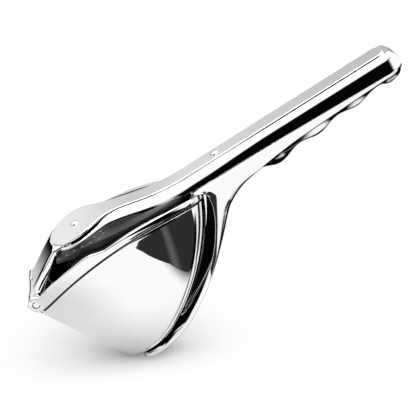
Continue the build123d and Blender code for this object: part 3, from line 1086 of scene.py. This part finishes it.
    def build(self, material: Finish) -> Solid:
        """Builds the handle.

        Args:
            material: Chrome.

        Returns:
            The finished piece.
        """
        inner, outer = self.stations()
        rings = []
        rib_from = self.lines.wave_first - 0.9 * self.wave_pitch
        for a, b in zip(inner, outer):
            rib = 0.0
            if b[0] > rib_from:
                rib = (self.low_line - self.wave_at(b[0])) * ease((b[0] - rib_from) / (0.8 * self.wave_pitch))
            rings.append(self.ring(a, b, rib))
        lines = self.lines
        for u in spread(lines.wave_first, lines.end_u, 72)[1:]:
            low = self.low_at(u)
            rib = max(0.0, low - self.under_at(u))
            rings.append(self.ring((u, lines.part_at(u) - lines.seam), (u, low), rib))
        last = lines.grip_end - 0.3
        for k in range(1, 17):
            u = lines.end_u + (last - lines.end_u) * sin(pi / 2 * k / 16)
            drop = sqrt(max(0.01, lines.end_r ** 2 - (u - lines.end_u) ** 2))
            low = max(self.low_at(u), lines.end_v - drop)
            top = max(lines.part_at(u) - lines.seam, low + 0.05)
            rings.append(self.ring((u, top), (u, low), max(0.0, low - self.under_at(u))))
        handle = tube("lower_handle_chrome", rings, material)
        return merge("lower_handle_chrome", [handle, self.corner(material)])

    def corner(self, material: Finish) -> Solid:
        """Builds the rounded inside corner of the loop, between throat and horn."""
        top = self.lines.part_at(self.wall_u) - self.lines.seam
        mid_u, mid_v = self.wall_u - self.loop_r, top - self.loop_lip - self.loop_r
        rings = []
        edge = [(0.9, 0.0), (0.55, 0.1), (0.25, 0.3), (0.07, 0.55), (0.0, 0.8)]
        half = self.horn_half - 0.15
        rims = [(back - half, inset) for back, inset in reversed(edge)]
        rims += [(half - back, inset) for back, inset in edge]
        far = self.wall_u + self.horn_thick
        for w, inset in rims:
            r, high = self.loop_r + 0.6 * inset, top - 0.3 * inset
            loop = [(mid_u + r * sin(a), mid_v + r * cos(a)) for a in spread(0, pi / 2, 24)]
            loop += [(far, mid_v), (far, high), (mid_u, high)]
            rings.append([TOOL.at(u, v, w) for u, v in loop])
        return tube("loop_corner", rings, material)


@dataclass
class UpperLever:
    """Knuckle, strap, round pressing head, arm and upper grip."""

    hinge: Hinge
    lines: LeverLines
    strap_half: float = 10.6
    strap_angle: float = 36.5
    strap_thick: float = 3.8
    strap_bow: float = 1.0
    strap_edge: float = 0.6
    strap_crown: float = 0.75
    flank_lean: float = 1.0
    flank_run: float = 30.0

    def ring(self, u: float) -> Ring:
        """Draws the cross-section of head, arm and grip at u."""
        lines = self.lines
        top = lines.top_at(u)
        under = min(lines.under_at(u), top - 0.05)
        half = max(0.4, lines.half_at(u))
        flank = self.flank_lean * ease((u - lines.head_u - lines.neck * lines.head_r) / self.flank_run)
        high = half - flank
        flat = min(lines.flat_half, 0.75 * high)
        share = min(1.0, (high - flat) / (lines.grip_half - lines.flat_half))
        edge = max(under + 0.4 * (top - under), top - lines.shoulder_drop * share)
        corners = mirrored([(half, under, 0.12), (high, edge, 1.3), (flat, top, 0.5)])
        return [TOOL.at(u, v, w) for w, v in rounded_loop(corners, 7)]

    def strap_point(self, run: float, off: float) -> Vector:
        """Gives the point run along the strap from the hinge and off across it."""
        a = radians(self.strap_angle)
        return Vector((cos(a) * run - sin(a) * off, sin(a) * run + cos(a) * off))

    def strap_edges(self) -> list[tuple[Vector, Vector]]:
        """Draws the bowed outer edge and the inner edge of the strap, from the ears into the head.

        Returns:
            Matching points of both edges.
        """
        a = radians(self.strap_angle)
        half, bow = self.strap_thick / 2, self.strap_bow
        head, under = self.lines.top_at(0), self.lines.arm_under_head
        out_run = (head - (half - bow) * cos(a)) / sin(a)
        in_run = (under + (half - bow) * cos(a)) / sin(a)
        start, crest, foot = self.hinge.pin_r, 0.4 * out_run, self.hinge.ear_r - 0.3
        edges = []
        for f in spread(0, 1, 22):
            run = self.hinge.ear_r + 0.5 + (out_run - self.hinge.ear_r - 0.5) * f
            off = (foot * (run - crest) * (run - out_run) / ((start - crest) * (start - out_run))
                   + (half + bow) * (run - start) * (run - out_run) / ((crest - start) * (crest - out_run))
                   + (half - bow) * (run - start) * (run - crest) / ((out_run - start) * (out_run - crest)))
            low = self.hinge.ear_r + 0.5 + (in_run - self.hinge.ear_r - 0.5) * f
            edges.append((self.strap_point(run, off),
                          self.strap_point(low, -half + bow * (low - start) / (in_run - start))))
        for u in (26.0, 30.0):
            edges.append((Vector((u, head - 0.05)), Vector((u, under + 0.05))))
        return edges

    def build(self, material: Finish) -> Solid:
        """Builds the lever.

        Args:
            material: Chrome.

        Returns:
            The finished piece.
        """
        lines = self.lines
        places = [lines.head_u - lines.head_r * cos(a) for a in spread(0.03, pi / 2, 22)]
        places += spread(lines.head_u, lines.arm_back, 44)[1:]
        places += spread(lines.arm_back, lines.end_u, 60)[1:]
        places += [lines.end_u + (lines.end_r - 0.05) * sin(a) for a in spread(0, pi / 2, 20)[1:]]
        arm = tube("arm", [self.ring(u) for u in places], material)
        rings = []
        for outer, inner in self.strap_edges():
            thick = (outer - inner).length
            across = (outer - inner) / thick
            side = [(self.strap_half, 0.0, self.strap_edge), (self.strap_half, thick, self.strap_crown * thick)]
            spots = [(inner + across * n, w) for w, n in rounded_loop(mirrored(side), 8)]
            rings.append([TOOL.at(p.x, p.y, w) for p, w in spots])
        strap = tube("strap", rings, material)
        half = self.hinge.ear_gap / 2 - self.hinge.side_gap
        r = self.hinge.knuckle_r
        rims = [(-half, 0.6), (-half + 0.2, 0.2), (-half + 0.6, 0.0)]
        rims += [(-w, inset) for w, inset in reversed(rims)]
        rings = [[TOOL.at(u, v, w) for u, v in circle(r - inset, self.hinge.facets)] for w, inset in rims]
        knuckle = tube("knuckle", rings, material)
        freeze(knuckle)
        self.hinge.drill(knuckle)
        thick = self.strap_thick / 2
        loop = rounded_loop(mirrored([(half, -thick, self.strap_edge), (half, thick, self.strap_edge)]), 4)
        rings = []
        for run in (2.0, 7.0):
            spots = [(self.strap_point(run, n), w) for w, n in loop]
            rings.append([TOOL.at(p.x, p.y, w) for p, w in spots])
        root = tube("root", rings, material)
        return merge("upper_lever_chrome", [arm, strap, knuckle, root])


@dataclass
class LeverCover:
    """Disc over the head, drawn out into a strip along the flat top."""

    lines: LeverLines
    disc_r: float = 13.6
    strip_half: float = 5.0
    neck_from: float = 0.6
    neck_to: float = 2.1
    neck_half: float = 0.8
    neck_lead: float = -0.75
    end_share: float = 0.45
    low_edge: float = 0.15
    top_edge: float = 0.55
    sink: float = 0.02

    def half_at(self, u: float) -> float:
        """Gives the half width of the cover at u."""
        head, r = self.lines.head_u, self.disc_r
        start, end = head + self.neck_from * r, head + self.neck_to * r
        if u <= start:
            return sqrt(max(0.0, r ** 2 - (u - head) ** 2))
        if u <= end:
            f = (u - start) / (end - start)
            return hermite(f, self.neck_half * r, self.neck_lead * (end - start), self.strip_half, 0.0)
        if u <= self.lines.end_u:
            return self.strip_half
        past = (u - self.lines.end_u) / (self.end_share * self.lines.end_r)
        return self.strip_half * sqrt(max(0.0, 1 - past ** 2))

    def build(self, material: Finish) -> Solid:
        """Builds the cover.

        Args:
            material: Chrome.

        Returns:
            The finished piece.
        """
        head, end = self.lines.head_u, self.lines.end_u
        places = [head - self.disc_r * cos(a) for a in spread(0.04, pi / 2, 24)]
        neck = head + self.neck_to * self.disc_r
        places += spread(head, neck, 40)[1:] + spread(neck, end, 60)[1:]
        places += [end + self.end_share * self.lines.end_r * sin(a) for a in spread(0, pi / 2 - 0.05, 12)[1:]]
        rings = []
        for u in places:
            half = max(0.2, self.half_at(u))
            low = self.lines.top_at(u) - self.sink
            top = low + self.lines.cover_thick
            corners = mirrored([(half, low, self.low_edge), (half, top, self.top_edge)])
            rings.append([TOOL.at(u, v, w) for w, v in rounded_loop(corners, 6)])
        return tube("lever_cover_chrome", rings, material)


@dataclass
class Studs:
    """Low domes set on a surface: the rivets of the cover and the nubs of the presser."""

    radius: float
    height: float
    segments: int = 20
    rows: int = 12

    def tree(self, material: Finish) -> Tree:
        """Makes the node tree that sets one dome on every point.

        Args:
            material: Finish of the domes.

        Returns:
            The tree.
        """
        tree = bpy.data.node_groups.new("domes_on_points", "GeometryNodeTree")
        for label, kind in (("Points", "NodeSocketGeometry"), ("Radius", "NodeSocketFloat"),
                            ("Height", "NodeSocketFloat"), ("Up", "NodeSocketVector")):
            tree.interface.new_socket(label, in_out="INPUT", socket_type=kind)
        tree.interface.new_socket("Domes", in_out="OUTPUT", socket_type="NodeSocketGeometry")
        given = add_node(tree, "NodeGroupInput")
        ball = add_node(tree, "GeometryNodeMeshUVSphere",
                        {("in", "Segments"): self.segments, ("in", "Rings"): self.rows, ("in", "Radius"): 1.0})
        wide = given.outputs["Radius"]
        size = add_node(tree, "ShaderNodeCombineXYZ", links={0: wide, 1: wide, 2: given.outputs["Height"]})
        aim = add_node(tree, "FunctionNodeAlignRotationToVector", {"axis": "Z"},
                       {"Vector": given.outputs["Up"]})
        spots = add_node(tree, "GeometryNodeInstanceOnPoints",
                         links={"Points": given.outputs["Points"], "Instance": ball.outputs["Mesh"],
                                "Rotation": aim.outputs[0], "Scale": size.outputs[0]})
        real = add_node(tree, "GeometryNodeRealizeInstances", links={0: spots.outputs[0]})
        smooth = add_node(tree, "GeometryNodeSetShadeSmooth", links={0: real.outputs[0]})
        coat = add_node(tree, "GeometryNodeSetMaterial", {("in", "Material"): material},
                        {"Geometry": smooth.outputs[0]})
        add_node(tree, "NodeGroupOutput", links={0: coat.outputs[0]})
        return tree

    def build(self, name: str, points: Sequence[Vector], up: Vector,
              material: Finish) -> Solid:
        """Sets the domes.

        Args:
            name: Name of the piece.
            points: Places of the domes.
            up: Direction that they face.
            material: Their finish.

        Returns:
            The finished piece.
        """
        mesh = bpy.data.meshes.new(name)
        mesh.from_pydata([tuple(p) for p in points], [], [])
        piece = link_mesh(name, mesh)
        tree = self.tree(material)
        grow = piece.modifiers.new("domes", "NODES")
        grow.node_group = tree
        values = {"Radius": self.radius * MM, "Height": self.height * MM, "Up": tuple(up)}
        for item in tree.interface.items_tree:
            if item.in_out == "INPUT" and item.name in values:
                grow[item.identifier] = values[item.name]
        freeze(piece)
        piece.data.materials.clear()
        piece.data.materials.append(material)
        return piece


@dataclass
class Presser:
    """Black plate under the arm with rows of nubs, pale by a painted highlight, on its near and far edge."""

    bowl: Bowl
    lines: LeverLines
    press_gap: float = 1.4
    clear_half: float = 9.0
    nub_pitch: float = 4.2
    nub_r: float = 0.6
    nub_high: float = 0.35
    nub_facets: int = 12
    nub_front: float = 23.0
    nub_back: float = 50.0
    nub_inset: float = 1.6
    row_pitch: float = 0.87
    arm_cover: float = 1.0

    def nubs(self) -> list[Vector]:
        """Places the nubs on the top of the plate, in rows along its edge.

        Returns:
            Their middles.
        """
        lines = self.lines
        slope = (lines.arm_under_head - lines.arm_under_back) / (lines.arm_back - lines.head_u)
        mouth_front = self.bowl.front_at(0) + self.bowl.wall + self.press_gap
        mouth_back = self.bowl.back - self.bowl.wall - self.press_gap
        mid = (mouth_front + mouth_back) / 2
        long = (mouth_back - mouth_front) / 2
        half = self.bowl.half - self.bowl.wall - self.press_gap
        spots = []
        count = int((self.nub_back - self.nub_front) / self.nub_pitch)
        for row in range(2):
            for i in range(count):
                u = self.nub_front + (i + 0.5 * row) * self.nub_pitch
                edge = half * sqrt(max(0.0, 1 - ((u - mid) / long) ** 2)) - self.nub_inset
                edge -= row * self.row_pitch * self.nub_pitch
                inner = lines.half_at(u) - self.arm_cover if u > lines.head_u else self.clear_half
                v = min(lines.arm_under_head, lines.arm_under_head - slope * (u - lines.head_u))
                if edge > inner:
                    spots += [TOOL.at(u, v, edge), TOOL.at(u, v, -edge)]
        return spots


@dataclass(frozen=True)
class StudioFloor:
    """White paper floor that glows, with a painted contact shadow from ambient occlusion; only reflections see its
    painted grey and dark reflection zones.

    Each pair says where a zone starts and where it is full, in metres.
    """

    half_wide: float = 3.0
    half_deep: float = 4.0
    drop: float = 0.0004
    paper: str = "#F4F4F4"
    # Painted contact shadow: ambient occlusion darkens the floor's glow toward this colour.
    shadow: str = "#6E6E70"
    shadow_reach: float = 0.06
    shadow_samples: int = 16
    shadow_open: Flat = (0.97, 0.10)
    shadow_y: Flat = (-0.025, 0.005)
    # Painted reflection: a grey zone of the floor that only glossy rays see.
    grey: str = "#DEDEE0"
    grey_x: Flat = (-0.03, -0.09)
    grey_y: Flat = (-0.11, -0.04)
    # Painted dark reflections: floor zones that only glossy rays see.
    dark: str = "#050506"
    front_y: Flat = (-0.28, -0.33)
    back_x: Flat = (-0.12, -0.08)
    back_y: Flat = (0.035, 0.08)
    far_y: Flat = (0.10, 0.22)
    grips_x: Flat = (0.03, 0.06)
    grips_y: Flat = (-0.09, -0.04)
    throat_x: Flat = (0.115, 0.085)
    throat_y: Flat = (-0.15, -0.10)
    horn_x: Flat = (-0.035, -0.02)
    horn_off: Flat = (0.012, 0.005)

    def painted_reflection_zones(self, tree: Tree, x: Socket, y: Socket) -> Socket:
        """Joins the zones of painted dark reflection in front, behind, and under the grips, the throat and the
        horn.

        Args:
            tree: Node tree that gets the zones.
            x: Socket with the place along x.
            y: Socket with the place along y.

        Returns:
            Socket that is 1 where the floor is dark.
        """
        back = combine(tree, "MULTIPLY", ramp(tree, y, *self.back_y), ramp(tree, x, *self.back_x))
        throat = combine(tree, "MULTIPLY", ramp(tree, x, *self.throat_x), ramp(tree, y, *self.throat_y))
        grips = combine(tree, "MAXIMUM", throat, ramp(tree, y, *self.grips_y))
        grips = combine(tree, "MULTIPLY", ramp(tree, x, *self.grips_x), grips)
        off = combine(tree, "ABSOLUTE", y, 0.0)
        horn = combine(tree, "MULTIPLY", ramp(tree, off, *self.horn_off), ramp(tree, x, *self.horn_x))
        dark = ramp(tree, y, *self.front_y)
        for zone in (back, ramp(tree, y, *self.far_y), grips, horn):
            dark = combine(tree, "MAXIMUM", dark, zone)
        return dark

    def build(self) -> None:
        """Lays the floor."""
        mesh = bpy.data.meshes.new("floor")
        signs = ((-1, -1), (1, -1), (1, 1), (-1, 1))
        corners = [(i * self.half_wide, j * self.half_deep, -self.drop) for i, j in signs]
        mesh.from_pydata(corners, [], [(0, 1, 2, 3)])
        floor = link_mesh("floor", mesh)
        material, tree = empty_material("paper_floor_painted_shadow_and_reflections")
        rays = add_node(tree, "ShaderNodeLightPath")
        glossy = rays.outputs["Is Glossy Ray"]
        seen = combine(tree, "MAXIMUM", rays.outputs["Is Camera Ray"], glossy)
        place = add_node(tree, "ShaderNodeNewGeometry")
        spot = add_node(tree, "ShaderNodeSeparateXYZ", links={0: place.outputs["Position"]})
        x, y = spot.outputs[0], spot.outputs[1]
        # Painted shadow: ambient occlusion turns the glowing floor grey round the tool, faded out in front of it.
        near = add_node(tree, "ShaderNodeAmbientOcclusion",
                        {"samples": self.shadow_samples, ("in", "Distance"): self.shadow_reach})
        fade = combine(tree, "MAXIMUM", ramp(tree, y, *self.shadow_y), glossy)
        closed = combine(tree, "MULTIPLY", ramp(tree, near.outputs["AO"], *self.shadow_open), fade)
        colour = shade(tree, closed, WHITE, self.shadow)
        # Painted grey reflection zone, seen only by glossy rays.
        grey = combine(tree, "MULTIPLY", ramp(tree, x, *self.grey_x), ramp(tree, y, *self.grey_y))
        colour = shade(tree, combine(tree, "MULTIPLY", grey, glossy), colour, self.grey)
        # Painted dark reflection zones, seen only by glossy rays.
        dark = combine(tree, "MULTIPLY", self.painted_reflection_zones(tree, x, y), glossy)
        colour = shade(tree, dark, colour, self.dark)
        glow = add_node(tree, "ShaderNodeEmission", {("in", "Strength"): 1.0}, {"Color": colour})
        plain = add_node(tree, "ShaderNodeBsdfDiffuse", {("in", "Color"): hex_linear(self.paper)})
        mix = add_node(tree, "ShaderNodeMixShader", links={0: seen, 1: plain.outputs[0], 2: glow.outputs[0]})
        add_node(tree, "ShaderNodeOutputMaterial", links={"Surface": mix.outputs[0]})
        mesh.materials.append(material)


@dataclass(frozen=True)
class PaintedReflectionCard:
    """Glowing card beside the bowl that only reflections see: a painted dark reflection with a painted pale
    streak, and painted white on its other side.

    Lengths are in millimetres; the outline gives y and z.
    """

    plane_x: float = 3.0
    outline: tuple[Flat, ...] = ((-14.5, 41), (-47, 39), (-106, 24), (-180, 9.5), (-131, 43), (-62, 73), (-31, 86),
                                 (-18, 90), (-14.5, 75))
    # Painted dark reflection, with a painted pale streak across it.
    dark: str = "#2C2C2D"
    streak: str = "#5C5B58"
    painted_streak_across: Corner = (0.0, 0.74, 0.675)
    painted_streak_mid: float = 1.0
    painted_streak_half: float = 11.0

    def build(self) -> None:
        """Stands the card."""
        mesh = bpy.data.meshes.new("painted_reflection_card")
        corners = [(self.plane_x * MM, y * MM, z * MM) for y, z in self.outline]
        mesh.from_pydata(corners, [], [tuple(range(len(corners)))])
        card = link_mesh("painted_reflection_card", mesh)
        card.visible_camera = card.visible_diffuse = card.visible_shadow = False
        material, tree = empty_material("painted_reflection_finish")
        place = add_node(tree, "ShaderNodeNewGeometry")
        across = along(tree, place.outputs["Position"], self.painted_streak_across)
        off = combine(tree, "ABSOLUTE", combine(tree, "SUBTRACT", across, self.painted_streak_mid * MM), 0.0)
        # Painted pale streak inside the painted dark reflection.
        colour = shade(tree, ramp(tree, off, self.painted_streak_half * MM, 0.0), self.dark, self.streak)
        # Back face glows white: painted reflection.
        colour = shade(tree, place.outputs["Backfacing"], colour, WHITE)
        glow = add_node(tree, "ShaderNodeEmission", {("in", "Strength"): 1.0}, {"Color": colour})
        add_node(tree, "ShaderNodeOutputMaterial", links={"Surface": glow.outputs[0]})
        mesh.materials.append(material)


@dataclass(frozen=True)
class StudioWorld:
    """Studio round the tool: white above, grey behind on the right, dark on the near side.

    Each pair says where a zone starts and where it is full, as a share of a direction.
    """

    dark: str = "#060607"
    dark_way: Corner = (0.25, -0.84, -0.48)
    dark_edge: Flat = (-0.06, 0.06)
    dark_x: Flat = (0.80, 0.60)
    dark_z: Flat = (0.55, 0.30)
    grey: str = "#BDBEC0"
    grey_way: Corner = (0.0, 0.94, 0.34)
    grey_edge: Flat = (0.6, 0.8)
    grey_x: Flat = (-0.70, 0.05)

    def build(self) -> None:
        """Sets the scene's world."""
        world = bpy.data.worlds.new("studio")
        bpy.context.scene.world = world
        world.use_nodes = True
        tree = world.node_tree
        tree.nodes.clear()
        way = add_node(tree, "ShaderNodeTexCoord").outputs["Generated"]
        axis = add_node(tree, "ShaderNodeSeparateXYZ", links={0: way})
        x, z = axis.outputs[0], axis.outputs[2]
        dark = ramp(tree, along(tree, way, self.dark_way), *self.dark_edge)
        for edge in (ramp(tree, x, *self.dark_x), ramp(tree, z, *self.dark_z)):
            dark = combine(tree, "MULTIPLY", dark, edge)
        grey = ramp(tree, along(tree, way, self.grey_way), *self.grey_edge)
        grey = combine(tree, "MULTIPLY", grey, ramp(tree, x, *self.grey_x))
        sky = shade(tree, dark, shade(tree, grey, WHITE, self.grey), self.dark)
        rays = add_node(tree, "ShaderNodeLightPath")
        sky = shade(tree, rays.outputs["Is Camera Ray"], sky, WHITE)
        glow = add_node(tree, "ShaderNodeBackground", {("in", "Strength"): 1.0}, {"Color": sky})
        add_node(tree, "ShaderNodeOutputWorld", links={"Surface": glow.outputs[0]})


def stage_lamp(name: str, place: Vector, aim: Vector, size: float, power: float) -> None:
    """Hangs a soft square lamp.

    Args:
        name: Name of the lamp.
        place: Where it hangs, in metres.
        aim: Where it points.
        size: Its side, in metres.
        power: Its power, in watts.
    """
    data = bpy.data.lights.new(name, "AREA")
    data.size = size
    data.energy = power
    lamp = bpy.data.objects.new(name, data)
    lamp.location = place
    lamp.rotation_euler = (aim - place).to_track_quat("-Z", "Y").to_euler()
    bpy.context.scene.collection.objects.link(lamp)


@dataclass
class PhotoCamera:
    """Camera at the photograph's viewing angle."""

    aim: tuple[float, float, float] = (-0.1, 0.0, 79.8)
    azimuth: float = 10.0
    elevation: float = 27.0
    distance: float = 400.0
    view_angle: float = 28.0

    def build(self) -> None:
        """Sets the scene's camera."""
        az, el = radians(self.azimuth), radians(self.elevation)
        aim = Vector(self.aim)
        place = aim + Vector((-sin(az) * cos(el), -cos(az) * cos(el), sin(el))) * self.distance
        data = bpy.data.cameras.new("camera")
        data.sensor_width = 36.0
        data.angle = radians(self.view_angle)
        data.clip_start = 0.01
        camera = bpy.data.objects.new("camera", data)
        camera.location = place * MM
        camera.rotation_euler = ((aim - place).to_track_quat("-Z", "Y")).to_euler()
        bpy.context.scene.collection.objects.link(camera)
        bpy.context.scene.camera = camera


def dress_node(name: str, material: Finish) -> None:
    """Gives a solid of the frame its finish."""
    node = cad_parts[name]
    node.data.materials.clear()
    node.data.materials.append(material)
    log.info("solid %s: finish %s", name, material.name)


def main() -> None:
    """Builds the stage and every piece in order."""
    logging.basicConfig(level=logging.INFO)
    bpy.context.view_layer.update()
    scene = bpy.context.scene
    scene.view_settings.view_transform = "Standard"
    PhotoCamera().build()
    StudioFloor().build()
    PaintedReflectionCard().build()
    StudioWorld().build()
    stage_lamp("overhead", Vector((0.0, 0.1, 0.9)), Vector((0.0, 0.0, 0.0)), 1.2, 9.0)

    chrome = PolishedChrome().make()
    steel = BrushedSteel().make()
    nylon = BlackNylon().make()
    # Nub finish: pale grey as a painted highlight.
    nub_highlight = NubPaintedHighlight().make()

    hinge = Hinge()
    lines = LeverLines()
    bowl = Bowl(hinge)
    place_piece(bowl.build(chrome), Body.BASE, Slot.CHROME, "bowl")
    # Black band in the rim groove: painted shade.
    place_piece(bowl.line(nylon), Body.BASE, Slot.PRESSER)
    place_piece(hinge.pin(chrome), Body.BASE, Slot.CHROME, "hinge_pin")
    place_piece(LowerHandle(bowl, lines).build(chrome), Body.BASE, Slot.CHROME, "lower_handle")
    place_piece(UpperLever(hinge, lines).build(chrome), Body.LEVER, Slot.CHROME, "upper_lever")
    place_piece(LeverCover(lines).build(chrome), Body.LEVER, Slot.CHROME, "lever_cover")
    up = TOOL.direction(0, 1, 0)
    tops = [TOOL.at(lines.head_u, lines.top_head, 0), TOOL.at(lines.rivet_u, lines.top_grip, 0)]
    rivets = Studs(lines.rivet_r, lines.rivet_high).build("cover_rivet_domes", tops, up, chrome)
    place_piece(rivets, Body.LEVER, Slot.CHROME, "cover_rivets")
    presser = Presser(bowl, lines)
    studs = Studs(presser.nub_r, presser.nub_high, presser.nub_facets)
    place_piece(studs.build("presser_nubs", presser.nubs(), up, nub_highlight), Body.LEVER, Slot.PRESSER)

    for name in ("horn_rivets", "strainer", "presser_screw"):
        dress_node(name, steel)
    dress_node("presser", nylon)


if __name__ == "__main__":
    main()
